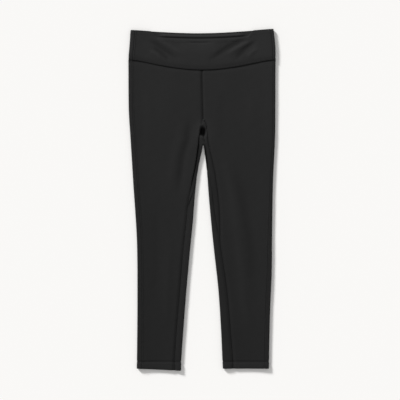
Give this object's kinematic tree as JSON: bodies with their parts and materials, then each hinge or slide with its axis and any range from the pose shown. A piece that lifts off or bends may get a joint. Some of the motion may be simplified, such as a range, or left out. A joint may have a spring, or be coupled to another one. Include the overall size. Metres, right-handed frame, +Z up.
{
  "type": "leggings",
  "caption": "Cropped stretch-knit leggings with a wide waistband and a crotch gusset, laid flat with the front up.",
  "frame": {"origin": "middle of the flat underside, at the centre of the garment's width and length", "axes": "+Y along the legs towards the waistband, +X towards the wearer's left leg, +Z up out of the front of the garment"},
  "size_m": [0.3935, 0.909, 0.008],
  "materials": {
    "waistband_knit": "matt double stretch knit",
    "leg_knit": "matt stretch knit",
    "gusset_knit": "matt stretch knit"
  },
  "bodies": {
    "root": {"waistband_front": "waistband_knit", "waistband_back": "waistband_knit", "front_right": "leg_knit", "front_left": "leg_knit", "back_right": "leg_knit", "back_left": "leg_knit", "gusset": "gusset_knit"}
  },
  "joints": []
}
